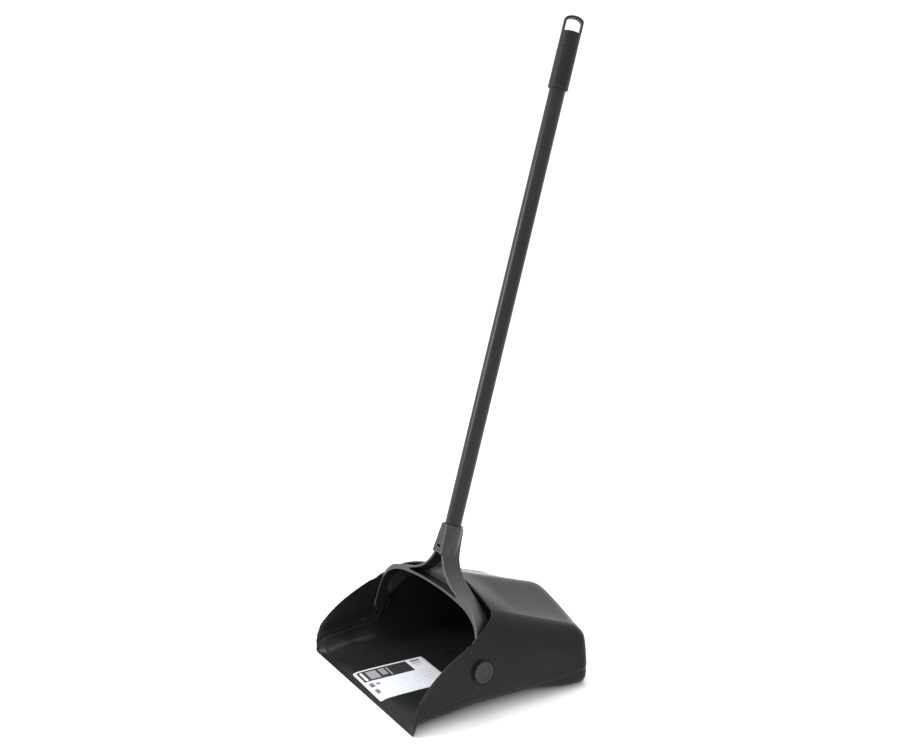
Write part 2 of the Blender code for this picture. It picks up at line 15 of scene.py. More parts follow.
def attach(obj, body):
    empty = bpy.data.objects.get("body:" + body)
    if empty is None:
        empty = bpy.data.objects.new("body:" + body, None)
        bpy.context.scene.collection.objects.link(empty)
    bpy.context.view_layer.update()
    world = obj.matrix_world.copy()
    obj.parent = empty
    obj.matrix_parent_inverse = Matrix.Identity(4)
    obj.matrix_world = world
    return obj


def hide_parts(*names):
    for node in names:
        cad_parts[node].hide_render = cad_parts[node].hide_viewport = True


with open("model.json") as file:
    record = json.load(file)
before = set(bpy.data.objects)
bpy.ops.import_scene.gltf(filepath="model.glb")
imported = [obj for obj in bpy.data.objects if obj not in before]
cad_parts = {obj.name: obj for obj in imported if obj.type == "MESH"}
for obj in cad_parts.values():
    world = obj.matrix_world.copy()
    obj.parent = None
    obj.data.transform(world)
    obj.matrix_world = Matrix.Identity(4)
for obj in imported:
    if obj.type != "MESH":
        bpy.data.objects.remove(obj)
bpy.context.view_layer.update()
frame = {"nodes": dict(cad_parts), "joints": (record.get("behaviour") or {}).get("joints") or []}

HINGE = Vector(frame["joints"][0]["pos_m"])

# ---- dimensions -------------------------------------------------------------------------
PIVOT_DEPTH = 0.105
PIVOT_Z = HINGE.z
LIP_Y = HINGE.y - PIVOT_DEPTH
LEAN = math.radians(15.9)

PAN_DEPTH = 0.280
BACK_BULGE = 0.030            # the back wall bows out this far further in the middle
BULGE_START = 0.160
PAN_WALL = 0.0026
LIP_SHARE = 0.50              # the wall thins to this share of its thickness at the lip
LIP_TAPER = 0.016
WALL_X_FRONT = 0.1425
WALL_X_BACK = 0.1468
FLARE = 0.0045
WING_TOP_DEPTH = 0.090
WING_TOP_Z = 0.097
WING_CURVE = 2.5
NOTCH = 0.0024                # nick in the edge where the wing meets the hood
RAMP_RISE = 0.0045
RAMP_CREST = 0.045
FLOOR_LIFT = 0.0026
FLOOR_RISE = 0.020
FLOOR_LEVEL = 0.110
HEEL_START = 0.190
HEEL_DEPTH = 0.245
FILLET_LIP = 0.004
FILLET_FRONT = 0.026
FILLET_MIDDLE = 0.040
FILLET_BACK = 0.017
CROWN_Z = 0.1435
CROWN_DEPTH = 0.145
CROWN_FALL = 0.323
SHOULDER_Z = 0.124
SHOULDER_DEPTH = 0.1428
SHOULDER_FALL = 0.341
SHOULDER_X_FRONT = 0.1075
SHOULDER_X_BACK = 0.118
BACK_ROUND = 0.012
TOP_ROUND = 0.022
WING_RAISE = 0.0009           # the wing panels stand this far outside the hood's sides
LEDGE_WIDTH = 0.0018
INNER_STEP = 0.0011           # inside, the ledge is a pair of steps this high
INNER_STEP_APART = 0.0034     # each this far from the ledge's line
INNER_STEP_WIDTH = 0.0009
BOSS_R = 0.0175
BOSS_EDGE = 0.0018            # width of the slope between the boss and the wing panel
BACK_MIDDLE_Z = 0.055         # height at which the back wall's rings meet
HEEL_TUCK = 0.0013            # the foot of the side walls is tucked in behind the middle

STRAP_FRONT = 0.013
STRAP_BACK = 0.0155
STRAP_TIP = -0.0150
CREASE = 0.001
SOCKET_TOP = 0.1558
SOCKET_FOOT = 0.1138
BORE_TOP = 0.165
BORE_CLEARANCE = 0.0006
SLOT_FOOT = 0.1228
SLOT_TOP = 0.1260
RIB_HALF = 0.012
RIB_FRONT = 0.0075
RIB_BACK = 0.0186
RIB_FOOT = 0.0698
RIB_TOP = 0.0898
TUBE_FOOT = 0.1203
TUBE_TOP = 0.8698
SLEEVE_IN = 0.0113
SLEEVE_R = 0.0118
GRIP_R = 0.0146
GRIP_FOOT = 0.7922
GRIP_TOP = 0.8522
CAP_TOP = 0.8754
LOOP_TOP = 0.8998
LOOP_TURN = math.radians(27)
GAP = 0.0003
POCKET_FLOOR = 0.0065
POCKET_BACK = 0.0095

EAR_R = 0.0140
EAR_X = 0.1369
EAR_HALF = 0.0022
EAR_HOLE_X = 0.1362
RIVET_SHAFT_R = 0.0070
RIVET_SHAFT = 0.0078
RIVET_HEAD_R = 0.0143
RIVET_HEAD = 0.0046

LABEL_WIDTH = 0.091
LABEL_LENGTH = 0.110
LABEL_X = 0.0020
LABEL_DEPTH = 0.0630
LABEL_TURN = math.radians(-1.5)
LABEL_THICK = 0.00014
LABEL_LIFT = 0.00012

HINGE_PLACE = Matrix.Translation(HINGE) @ Matrix.Rotation(-LEAN, 4, "X")


# ---- helpers ----------------------------------------------------------------------------
def smooth(value):
    """Zero below 0, one above 1, and an S-curve between."""
    value = min(1.0, max(0.0, value))
    return value * value * (3.0 - 2.0 * value)


def mix(first, second, share):
    return first + (second - first) * share


def add_object(name, mesh, place=None):
    thing = bpy.data.objects.new(name, mesh)
    bpy.context.scene.collection.objects.link(thing)
    if place is not None:
        thing.matrix_world = place
    return thing


def mesh_from(name, points, faces, recalculate=True):
    shape = bmesh.new()
    corners = [shape.verts.new(point) for point in points]
    for face in faces:
        shape.faces.new([corners[index] for index in face])
    if recalculate:
        bmesh.ops.recalc_face_normals(shape, faces=shape.faces)
    mesh = bpy.data.meshes.new(name)
    shape.to_mesh(mesh)
    shape.free()
    mesh.shade_smooth()
    return mesh


def turned(name, profile, steps=96, ripple=None):
    """A closed solid of revolution about Z from a (radius, height) profile.

    ripple(angle, height) gives a length to add to the radius away from the axis.
    """
    solid = profile[0][0] == 0.0
    count = len(profile)
    points = []
    for step in range(steps):
        angle = 2.0 * math.pi * step / steps
        for radius, height in profile:
            extra = ripple(angle, height, radius) if ripple and radius > 0.0 else 0.0
            points.append(((radius + extra) * math.cos(angle),
                           (radius + extra) * math.sin(angle), height))
    shape = bmesh.new()
    corners = [shape.verts.new(point) for point in points]
    for step in range(steps):
        after_step = (step + 1) % steps
        for index in range(count - 1 if solid else count):
            after = (index + 1) % count
            shape.faces.new((corners[step * count + index], corners[after_step * count + index],
                             corners[after_step * count + after], corners[step * count + after]))
    bmesh.ops.remove_doubles(shape, verts=shape.verts, dist=1e-7)
    bmesh.ops.recalc_face_normals(shape, faces=shape.faces)
    mesh = bpy.data.meshes.new(name)
    shape.to_mesh(mesh)
    shape.free()
    mesh.shade_smooth()
    return mesh


def rounded(profile, radius=0.0004, steps=3):
    """The profile with each inner corner replaced by a small arc-like curve."""
    result = [profile[0]]
    for index in range(1, len(profile) - 1):
        here = Vector(profile[index])
        before = Vector(profile[index - 1]) - here
        after = Vector(profile[index + 1]) - here
        reach = min(radius, 0.45 * before.length, 0.45 * after.length)
        start = here + before.normalized() * reach
        end = here + after.normalized() * reach
        for step in range(steps + 1):
            share = step / steps
            point = start.lerp(here, share).lerp(here.lerp(end, share), share)
            result.append((point.x, point.y))
    result.append(profile[-1])
    return result


def loft(name, rings):
    """A closed solid through rings of equal length, with flat ends."""
    count = len(rings[0])
    points = [point for ring in rings for point in ring]
    faces = [tuple(range(count)), tuple(range((len(rings) - 1) * count, len(rings) * count))]
    for level in range(len(rings) - 1):
        for index in range(count):
            after = (index + 1) % count
            faces.append((level * count + index, level * count + after,
                          (level + 1) * count + after, (level + 1) * count + index))
    return mesh_from(name, points, faces)


def curve_through(points, steps):
    """A smooth line through the points: a Catmull-Rom spline, first to last."""
    line = []
    for index in range(len(points) - 1):
        a = Vector(points[max(index - 1, 0)])
        b = Vector(points[index])
        c = Vector(points[index + 1])
        d = Vector(points[min(index + 2, len(points) - 1)])
        for step in range(steps):
            t = step / steps
            line.append(0.5 * ((2 * b) + (c - a) * t + (2 * a - 5 * b + 4 * c - d) * t * t
                               + (3 * b - a - 3 * c + d) * t ** 3))
    line.append(Vector(points[-1]))
    return line


def boolean(target, tool, operation):
    cut = target.modifiers.new(operation.title(), "BOOLEAN")
    cut.operation = operation
    cut.solver = "EXACT"
    cut.object = tool


def moulded(thing, tools, voxel, passes):
    """Applies thing's Booleans, then softens every edge by remeshing at the voxel size."""
    remesh = thing.modifiers.new("Mould", "REMESH")
    remesh.mode = "VOXEL"
    remesh.voxel_size = voxel
    remesh.use_smooth_shade = True
    soften = thing.modifiers.new("Soften", "SMOOTH")
    soften.factor = 0.5
    soften.iterations = passes
    apply_modifiers(thing)
    for tool in tools:
        bpy.data.objects.remove(tool, do_unlink=True)


def apply_modifiers(thing):
    bpy.context.view_layer.update()
    graph = bpy.context.evaluated_depsgraph_get()
    made = bpy.data.meshes.new_from_object(thing.evaluated_get(graph))
    thing.modifiers.clear()
    thing.data = made
    made.shade_smooth()


# ---- pan: the same surface as the frame's, drawn finely ------------------------------------
def floor_height(share, depth):
    """Underside of the floor at a share of the way from its middle to the fillets.

    In the middle it is level behind the lip; beside the walls it has a low crest first.
    """
    crest = RAMP_RISE * smooth(depth / RAMP_CREST)
    level = smooth((depth - RAMP_CREST) / (FLOOR_LEVEL - RAMP_CREST))
    beside = mix(crest, FLOOR_LIFT, level)
    heel = smooth((depth - HEEL_START) / (HEEL_DEPTH - HEEL_START))
    return mix(FLOOR_LIFT * smooth(depth / FLOOR_RISE), beside, share * share) * (1.0 - heel)


def floor_fillet(depth):
    """Radius between the floor and the walls: sharp at the lip, fullest in the middle."""
    front = mix(FILLET_LIP, FILLET_FRONT, smooth(depth / 0.012))
    middle = (FILLET_MIDDLE - FILLET_FRONT) * smooth((depth - 0.050) / 0.060)
    back = (FILLET_MIDDLE - FILLET_BACK) * smooth((depth - 0.175) / 0.100)
    return front + middle - back


def wall_half_width(depth):
    return mix(WALL_X_FRONT, WALL_X_BACK, depth / PAN_DEPTH)


def shoulder(depth):
    behind = max(0.0, depth - SHOULDER_DEPTH) / (PAN_DEPTH - SHOULDER_DEPTH)
    across = mix(SHOULDER_X_FRONT, SHOULDER_X_BACK, behind)
    return across, SHOULDER_Z - SHOULDER_FALL * (depth - SHOULDER_DEPTH)


def hood_top(share, depth):
    """Height of the hood at a share of the way from the crown to the shoulder."""
    front_shape = 1.0 - share * share
    ridge = 0.08
    roof = (math.hypot(share, ridge) - ridge) / (math.hypot(1.0, ridge) - ridge)
    back_shape = (1.0 - min(1.0, roof)) ** 1.35
    wave = smooth((depth - 0.135) / 0.060)
    crown = CROWN_Z - CROWN_FALL * (depth - CROWN_DEPTH)
    side = shoulder(depth)[1]
    return side + (crown - side) * mix(front_shape, back_shape, wave)


def wing_edge_depth(height):
    """Front edge of the wings, then of the hood's sides, as depth at each height."""
    nick = NOTCH * math.exp(-((height - WING_TOP_Z - 0.0010) / 0.0016) ** 2)
    if height <= WING_TOP_Z:
        return WING_TOP_DEPTH * (max(height, 0.0) / WING_TOP_Z) ** WING_CURVE + nick
    along = (height - WING_TOP_Z) / (SHOULDER_Z - WING_TOP_Z)
    return mix(WING_TOP_DEPTH, SHOULDER_DEPTH, along) + nick


def hood_edge_depth(height):
    """Front edge of the hood's top, parallel to the leaning yoke."""
    return SHOULDER_DEPTH + (height - SHOULDER_Z) * math.tan(LEAN)


FLOOR_ROWS = 12
FILLET_ROWS = 54
WALL_ROWS = 108
TOP_ROWS = 34


def section_rows():
    """The rows of the pan's half section, floor centre to crown, as (part, share)."""
    rows = [("floor", share / FLOOR_ROWS) for share in range(FLOOR_ROWS)]
    rows += [("fillet", share / FILLET_ROWS) for share in range(FILLET_ROWS)]
    rows += [("wall", share / WALL_ROWS) for share in range(WALL_ROWS)]
    rows += [("top", 1.0 - share / TOP_ROWS) for share in range(TOP_ROWS + 1)]
    return rows


def section_point(part, share, depth):
    """Outer surface of the right half at one depth, as (x, z)."""
    base = floor_height(1.0, depth)
    half = wall_half_width(depth)
    fillet = floor_fillet(depth)
    if part == "floor":
        return (half - fillet) * share, floor_height(share, depth)
    if part == "fillet":
        angle = math.radians(90.0 * share)
        return half - fillet * (1.0 - math.sin(angle)), base + fillet * (1.0 - math.cos(angle))
    shoulder_x, shoulder_z = shoulder(depth)
    if part == "top":
        return shoulder_x * share, hood_top(share, depth)
    low = base + fillet
    swing = smooth((depth - 0.10) / 0.17)
    turn_z = shoulder_z - mix(0.014, 0.003, swing)
    keep = (1.0 - share) ** 2
    pull = 2.0 * share * (1.0 - share)
    x = half * (keep + pull) + shoulder_x * share * share
    z = low * keep + mix(low, turn_z, 0.95) * pull + shoulder_z * share * share
    return x, z


def edge_depth(part, share):
    """Depth at which a row of the section meets the front edge."""
    if part == "floor":
        return 0.0
    low, high = 0.0, 0.20
    for _ in range(30):
        middle = 0.5 * (low + high)
        height = section_point(part, share, middle)[1]
        edge = hood_edge_depth(height) if part == "top" else wing_edge_depth(height)
        if middle < edge:
            low = middle
        else:
            high = middle
    return 0.5 * (low + high)


LEDGE_REAR = [
    (0.047, 0.0275), (0.071, 0.0305), (0.088, 0.0325), (0.0975, 0.0375), (0.1015, 0.0450),
    (0.1045, 0.0560), (0.1055, 0.0690), (0.1045, 0.0800), (0.1005, 0.0885), (0.0930, 0.0945),
    (0.0850, 0.0980),
]
LEDGE_LINE = curve_through([
    (-0.010, 0.0100), (0.002, 0.0130), (0.012, 0.0180), (0.0255, 0.0250)] + LEDGE_REAR, 5)
INNER_LINE = curve_through([
    (-0.010, 0.0205), (0.002, 0.0220), (0.012, 0.0235), (0.0255, 0.0255)] + LEDGE_REAR, 5)


def ledge_distance(line, depth, height):
    """Distance from the ledge's line, positive on the wing panel's side."""
    best = 1.0
    side = 1.0
    for start, end in zip(line, line[1:]):
        dx = end.x - start.x
        dy = end.y - start.y
        px = depth - start.x
        py = height - start.y
        share = min(1.0, max(0.0, (px * dx + py * dy) / (dx * dx + dy * dy)))
        away = math.hypot(px - share * dx, py - share * dy)
        if away < best:
            best = away
            side = 1.0 if dx * py - dy * px > 0.0 else -1.0
    return best * side


def raised_share(depth, height):
    """One on the wing panels, falling to zero across the ledge around them."""
    if depth > 0.125 or height > 0.11:
        return 0.0
    inside = smooth(ledge_distance(LEDGE_LINE, depth, height) / LEDGE_WIDTH + 0.5)
    from_hinge = math.hypot(depth - PIVOT_DEPTH, height - PIVOT_Z)
    return inside * smooth((from_hinge - BOSS_R) / BOSS_EDGE + 0.5)


def inner_steps(depth, height):
    """How far the wings' inner faces stand outside the walls' own: a pair of steps."""
    if depth > 0.130 or height > 0.11:
        return 0.0
    away = ledge_distance(INNER_LINE, depth, height)
    upper = smooth((away - INNER_STEP_APART) / INNER_STEP_WIDTH + 0.5)
    lower = smooth((away + INNER_STEP_APART) / INNER_STEP_WIDTH + 0.5)
    return INNER_STEP * (upper + lower)


def heel_tuck(depth, height):
    """Share of the tuck below the ridge along the foot of the rear walls."""
    ridge = mix(0.0150, 0.0255, (depth - 0.170) / 0.105)
    below = 1.0 - smooth((height - ridge) / 0.0022 + 0.5)
    return below * smooth((depth - 0.165) / 0.040)


def bowed(part, share, depth):
    """The depth moved back by the bow of the back wall: most in the middle, none at the sides."""
    across = section_point(part, share, depth)[0] / wall_half_width(depth)
    near_back = smooth((depth - BULGE_START) / (PAN_DEPTH - BULGE_START))
    return depth + BACK_BULGE * (1.0 - min(1.0, across) ** 2) * near_back


def shell_point(part, share, depth, start):
    """Outer surface of the pan, with the wings' flare and ledge."""
    depth = bowed(part, share, depth)
    x, z = section_point(part, share, depth)
    if part in ("wall", "fillet"):
        away = max(0.0, depth - start)
        low_share = 1.0 - smooth((z - 0.030) / 0.060)
        x += FLARE * math.exp(-away / 0.008) * low_share
        x += WING_RAISE * raised_share(depth, z)
        x -= HEEL_TUCK * heel_tuck(depth, z) * smooth(share * 2.5 if part == "fillet" else 1.0)
    return Vector((x, LIP_Y + depth, z))


def back_round(part, share):
    """Radius with which a row turns into the back wall."""
    if part == "top":
        return TOP_ROUND
    if part == "wall":
        return mix(BACK_ROUND, TOP_ROUND, smooth((share - 0.6) / 0.4))
    return BACK_ROUND


NEAR_STATIONS = 100
FAR_STATIONS = 34
NEAR_END = 0.116


def station_depths(start, end):
    """Depths of one row's points, close together over the wings and wider behind them."""
    near_end = max(NEAR_END, start + 0.010)
    near = [mix(start, near_end, (index / NEAR_STATIONS) ** 1.15)
            for index in range(NEAR_STATIONS)]
    far = [mix(near_end, end, index / (FAR_STATIONS - 1)) for index in range(FAR_STATIONS)]
    return near + far


def back_rings(rows):
    """The sides' last section rounded in towards the back wall, then the wall itself."""
    rings = []
    for step in range(1, 9):
        angle = math.radians(90.0 * step / 8)
        ring = []
        for part, share in rows:
            radius = back_round(part, share)
            depth = bowed(part, share, PAN_DEPTH) - radius * (1.0 - math.sin(angle))
            x, z = section_point(part, share, depth)
            if part in ("wall", "fillet"):
                x -= HEEL_TUCK * heel_tuck(depth, z) * smooth(
                    share * 2.5 if part == "fillet" else 1.0)
            inward = Vector((min(0.0, 0.090 - x), BACK_MIDDLE_Z - z))
            inward = inward.normalized() if inward.length > 0.001 else Vector((0.0, 1.0))
            inward *= radius * (1.0 - math.cos(angle))
            ring.append(Vector((x + inward.x, LIP_Y + depth, z + inward.y)))
        rings.append(ring)
    for share in (0.2, 0.4, 0.6, 0.8):
        ring = []
        for rim in rings[7]:
            x = mix(rim.x, 0.0, share)
            bow = BACK_BULGE * (1.0 - (x / WALL_X_BACK) ** 2)
            ring.append(Vector((x, LIP_Y + PAN_DEPTH + bow, mix(rim.z, BACK_MIDDLE_Z, share))))
        rings.append(ring)
    return rings


def make_pan():
    rows = section_rows()
    columns = []
    for part, share in rows:
        start = edge_depth(part, share)
        end = PAN_DEPTH - back_round(part, share)
        columns.append([shell_point(part, share, depth, start)
                        for depth in station_depths(start, end)])
    for ring in back_rings(rows):
        for column, point in zip(columns, ring):
            column.append(point)
    mirrored = [[Vector((-p.x, p.y, p.z)) for p in column] for column in columns[-2:0:-1]]
    around = columns + mirrored
    length = len(around[0])
    points = [point for column in around for point in column]
    middle = len(points)
    points.append(Vector((0.0, LIP_Y + PAN_DEPTH + BACK_BULGE, BACK_MIDDLE_Z)))
    faces = []
    for index in range(len(around)):
        after = (index + 1) % len(around)
        for step in range(length - 1):
            faces.append((index * length + step, after * length + step,
                          after * length + step + 1, index * length + step + 1))
        faces.append((index * length + length - 1, after * length + length - 1, middle))
    pan = add_object("pan_shell", mesh_from("pan_shell", points, faces))

    thin = pan.vertex_groups.new(name="wall_thickness")
    for vertex in pan.data.vertices:
        depth = vertex.co.y - LIP_Y
        near_floor = 1.0 - smooth((vertex.co.z - 0.012) / 0.020)
        lip = near_floor * (1.0 - smooth(depth / LIP_TAPER))
        thin.add([vertex.index], mix(1.0, LIP_SHARE, lip), "REPLACE")
    wall = pan.modifiers.new("Wall", "SOLIDIFY")
    wall.thickness = PAN_WALL
    wall.offset = -1.0
    wall.vertex_group = "wall_thickness"
    apply_modifiers(pan)
    for outer, inner in zip(points, pan.data.vertices[len(points):]):
        if abs(outer.x) > 0.10:
            depth = outer.y - LIP_Y
            step = inner_steps(depth, outer.z) - WING_RAISE * raised_share(depth, outer.z)
            inner.co.x += math.copysign(step, outer.x)
    reach = wall_half_width(PIVOT_DEPTH)
    drill = turned("drill", [(0.0, -reach - 0.02), (RIVET_SHAFT_R + GAP, -reach - 0.02),
                             (RIVET_SHAFT_R + GAP, reach + 0.02), (0.0, reach + 0.02)], 48)
    drill.transform(Matrix.Rotation(math.pi / 2, 4, "Y"))
    cutter = add_object("drill", drill, Matrix.Translation(HINGE))
    boolean(pan, cutter, "DIFFERENCE")
    soft = pan.modifiers.new("Edges", "BEVEL")
    soft.width = 0.0005
    soft.segments = 2
    soft.limit_method = "ANGLE"
    soft.angle_limit = math.radians(50)
    apply_modifiers(pan)
    bpy.data.objects.remove(cutter, do_unlink=True)
    return pan


# ---- yoke -------------------------------------------------------------------------------
def frame_outline(place):
    """Half outline of the yoke's frame, outer line then inner line, as (x, height).

    place is 0 at the front face, 1 at the crease and 2 at the rear face. The outer line
    swells in the middle where it runs up into the handle socket. The inner line keeps its
    front shape as far as the crease and turns in behind it.
    """
    outer_front = [(0.0080, 0.1520), (0.0092, 0.1370), (0.0105, 0.1230), (0.0138, 0.1105),
                   (0.0245, 0.0958), (0.0405, 0.0848), (0.0615, 0.0763), (0.0870, 0.0703),
                   (0.1085, 0.0643), (0.1218, 0.0553), (0.1298, 0.0445), (0.1348, 0.0320),
                   (0.1376, 0.0180), (0.1388, -0.0020), (0.1388, STRAP_TIP)]
    outer_back = [(0.0072, 0.1520), (0.0085, 0.1370), (0.0105, 0.1230), (0.0140, 0.1105),
                  (0.0240, 0.0983), (0.0410, 0.0878), (0.0645, 0.0783), (0.0860, 0.0698),
                  (0.1050, 0.0605), (0.1185, 0.0500), (0.1270, 0.0390), (0.1335, 0.0260),
                  (0.1370, 0.0120), (0.1388, -0.0020), (0.1388, STRAP_TIP)]
    inner_front = [(0.1338, STRAP_TIP), (0.1338, -0.0020), (0.1334, 0.0150), (0.1312, 0.0295),
                   (0.1255, 0.0420), (0.1145, 0.0525), (0.0910, 0.0617), (0.0600, 0.0662),
                   (0.0300, 0.0685), (0.0, 0.0692)]
    inner_back = [(0.1338, STRAP_TIP), (0.1338, -0.0020), (0.1322, 0.0100), (0.1275, 0.0240),
                  (0.1195, 0.0355), (0.1080, 0.0455), (0.0880, 0.0547), (0.0600, 0.0608),
                  (0.0300, 0.0638), (0.0, 0.0648)]
    swell = [0.0136, 0.0137, 0.0138, 0.0146]
    outer = []
    for index, (front, back) in enumerate(zip(outer_front, outer_back)):
        point = Vector(front).lerp(Vector(back), 0.5 * place)
        if place == 1 and index < len(swell):
            point.x = swell[index]
        outer.append(point)
    inner = [Vector(front).lerp(Vector(back), max(0, place - 1))
             for front, back in zip(inner_front, inner_back)]
    return curve_through(outer, 6) + curve_through(inner, 6)


def full_ring(half, depth):
    """A half outline and its mirror image as one closed ring at one local depth."""
    right = [Vector((p.x, depth, p.y)) for p in half]
    left = [Vector((-p.x, depth, p.y)) for p in reversed(half) if p.x > 1e-6]
    return right + left


def tip_cutter(name, outline):
    """Bar across both straps with the given (depth, height) outline, to trim their ends."""
    return loft(name, [[Vector((x, depth, height)) for depth, height in outline]
                       for x in (-0.16, 0.16)])


def pocket_outline():
    """Half outline of the pocket between the legs and the arch."""
    upper = curve_through([(0.0, 0.0727), (0.030, 0.0721), (0.055, 0.0709), (0.0715, 0.0699)], 4)
    lower = curve_through([(0.0715, 0.0701), (0.0590, 0.0737), (0.0400, 0.0809),
                           (0.0260, 0.0897), (0.0155, 0.1002), (0.0090, 0.1098),
                           (0.0066, SOCKET_FOOT + 0.001)], 5)
    return upper + lower + [Vector((0.0, SOCKET_FOOT + 0.001))]


def socket_ring(height):
    """Section of the handle socket: flat front plate, chamfers, sides and a round back."""
    widen = (SOCKET_TOP - height) / (SOCKET_TOP - SOCKET_FOOT)
    plate = (mix(0.0068, 0.0120, widen), -mix(0.0148, 0.0168, widen))
    corner = (mix(0.0116, 0.0130, widen), -mix(0.0094, 0.0130, widen))
    side = (mix(0.0142, 0.0134, widen), -0.0010)
    turns = [math.radians(angle) for angle in range(15, 166, 10)]
    back = [(0.0142 * math.cos(turn), 0.0006 + 0.0148 * math.sin(turn)) for turn in turns]
    left = [(-x, y) for x, y in (side, corner, plate)]
    return [Vector((x, y, height)) for x, y in [plate, corner, side] + back + left]


def make_yoke():
    faces = ((-STRAP_FRONT, 0), (CREASE, 1), (STRAP_BACK, 2))
    yoke = add_object("yoke_frame", loft("yoke_frame", [
        full_ring(frame_outline(place), depth) for depth, place in faces]), HINGE_PLACE)
    tools = []

    def tool(name, mesh, operation, place=HINGE_PLACE):
        made = add_object(name, mesh, place)
        boolean(yoke, made, operation)
        tools.append(made)

    tool("socket", loft("socket", [socket_ring(height) for height in
                                   (SOCKET_FOOT, SOCKET_TOP)]), "UNION")
    tool("front_pocket", loft("front_pocket", [full_ring(pocket_outline(), depth) for depth in
                                               (-0.025, POCKET_FLOOR)]), "DIFFERENCE")
    tool("rear_pocket", loft("rear_pocket", [full_ring(pocket_outline(), depth) for depth in
                                             (POCKET_BACK, 0.025)]), "DIFFERENCE")
    rib = [(-RIB_HALF, RIB_FRONT), (RIB_HALF, RIB_FRONT), (RIB_HALF, RIB_BACK),
           (-RIB_HALF, RIB_BACK)]
    tool("rib", loft("rib", [[Vector((x, y, height)) for x, y in rib]
                             for height in (RIB_FOOT, RIB_TOP)]), "UNION")
    bore_r = SLEEVE_R + BORE_CLEARANCE
    tool("bore", turned("bore", [(0.0, TUBE_FOOT), (bore_r, TUBE_FOOT), (bore_r, BORE_TOP),
                                 (0.0, BORE_TOP)], 64), "DIFFERENCE")
    slot = [(-0.0046, -0.020), (0.0046, -0.020), (0.0046, -0.0115), (-0.0046, -0.0115)]
    tool("slot", loft("slot", [[Vector((x, y, height)) for x, y in slot]
                               for height in (SLOT_FOOT, SLOT_TOP)]), "DIFFERENCE")
    tool("tip_front", tip_cutter("tip_front", [
        (-0.0130, -0.0020), (-0.0112, -0.0080), (-0.0075, -0.0125), (-0.0030, -0.0146),
        (-0.0030, -0.0300), (-0.0300, -0.0300), (-0.0300, -0.0020)]), "DIFFERENCE")
    tool("tip_back", tip_cutter("tip_back", [
        (-0.0030, -0.0146), (0.0020, -0.0080), (0.0045, 0.0010), (0.0085, 0.0110),
        (0.0130, 0.0200), (0.0200, 0.0300), (0.0400, 0.0300), (0.0400, -0.0300),
        (-0.0030, -0.0300)]), "DIFFERENCE")
    for side in (-1, 1):
        across = Matrix.Rotation(math.pi / 2, 4, "Y")
        ear_place = HINGE_PLACE @ Matrix.Translation((side * EAR_X, 0.0, -0.002)) @ across
        tool(f"ear_{side}", turned(f"ear_{side}", [
            (0.0, -EAR_HALF), (EAR_R, -EAR_HALF), (EAR_R, EAR_HALF), (0.0, EAR_HALF)], 64),
            "UNION", ear_place)
        hole_place = HINGE_PLACE @ Matrix.Translation((side * (EAR_HOLE_X + 0.01), 0.0, 0.0))
        hole_r = RIVET_SHAFT_R + BORE_CLEARANCE
        tool(f"hole_{side}", turned(f"hole_{side}", [
            (0.0, -0.01), (hole_r, -0.01), (hole_r, 0.01), (0.0, 0.01)], 48),
            "DIFFERENCE", hole_place @ across)
    moulded(yoke, tools, 0.0007, 3)
    return yoke


# ---- rivets -----------------------------------------------------------------------------
def make_rivet(side, word):
    """Snap rivet, drawn along +Z outwards: round shaft with a chamfered foot, scalloped rim and
    dished face.
    """
    head = RIVET_HEAD_R
    top = RIVET_HEAD
    profile = rounded([
        (0.0, -RIVET_SHAFT), (RIVET_SHAFT_R - 0.0018, -RIVET_SHAFT),
        (RIVET_SHAFT_R, 0.0025 - RIVET_SHAFT), (RIVET_SHAFT_R, 0.0), (head, 0.0),
        (head, top - 0.0014), (head - 0.0012, top - 0.0001), (0.0104, top), (0.0094, top - 0.0012),
        (0.0040, top - 0.0015), (0.0031, top - 0.0008), (0.0, top - 0.0007),
    ], 0.0005)

    def scallop(angle, height, radius):
        notch = max(0.0, math.cos(14.0 * angle)) ** 2
        return -0.00065 * notch if radius > head - 0.0013 and height >= 0.0 else 0.0

    face_x = wall_half_width(PIVOT_DEPTH) + GAP + 0.0002
    place = HINGE_PLACE @ Matrix.Translation((side * face_x, 0.0, 0.0)) \
        @ Matrix.Rotation(side * math.pi / 2, 4, "Y")
    return add_object(f"rivet_{word}", turned(f"rivet_{word}", profile, 168, scallop), place)


# ---- handle -----------------------------------------------------------------------------
def make_sleeve():
    profile = rounded([(SLEEVE_IN, TUBE_FOOT), (SLEEVE_R, TUBE_FOOT),
                       (SLEEVE_R, 0.5 * (TUBE_FOOT + TUBE_TOP)), (SLEEVE_R, TUBE_TOP),
                       (SLEEVE_IN, TUBE_TOP)], 0.0002)
    return add_object("sleeve", turned("sleeve", profile, 128), HINGE_PLACE)


def make_grip():
    """Grip sleeve with a lip at its foot and shallow lengthwise flutes."""
    inner = SLEEVE_R + GAP
    steps = 24
    body = [(GRIP_R, mix(GRIP_FOOT + 0.0042, GRIP_TOP - 0.0008, step / steps))
            for step in range(steps + 1)]
    profile = rounded([(inner, GRIP_FOOT), (GRIP_R - 0.0008, GRIP_FOOT),
                       (GRIP_R + 0.0004, GRIP_FOOT + 0.0011),
                       (GRIP_R + 0.0004, GRIP_FOOT + 0.0030)] + body
                      + [(GRIP_R - 0.0006, GRIP_TOP), (inner, GRIP_TOP)], 0.0003, 2)

    def flutes(angle, height, radius):
        if radius < GRIP_R - 0.0002 or height < GRIP_FOOT + 0.0040:
            return 0.0
        ends = smooth((height - GRIP_FOOT - 0.0045) / 0.004)
        ends *= smooth((GRIP_TOP - 0.0015 - height) / 0.003)
        return -0.00011 * (0.5 - 0.5 * math.cos(40.0 * angle)) * ends

    return add_object("grip", turned("grip", profile, 320, flutes), HINGE_PLACE)


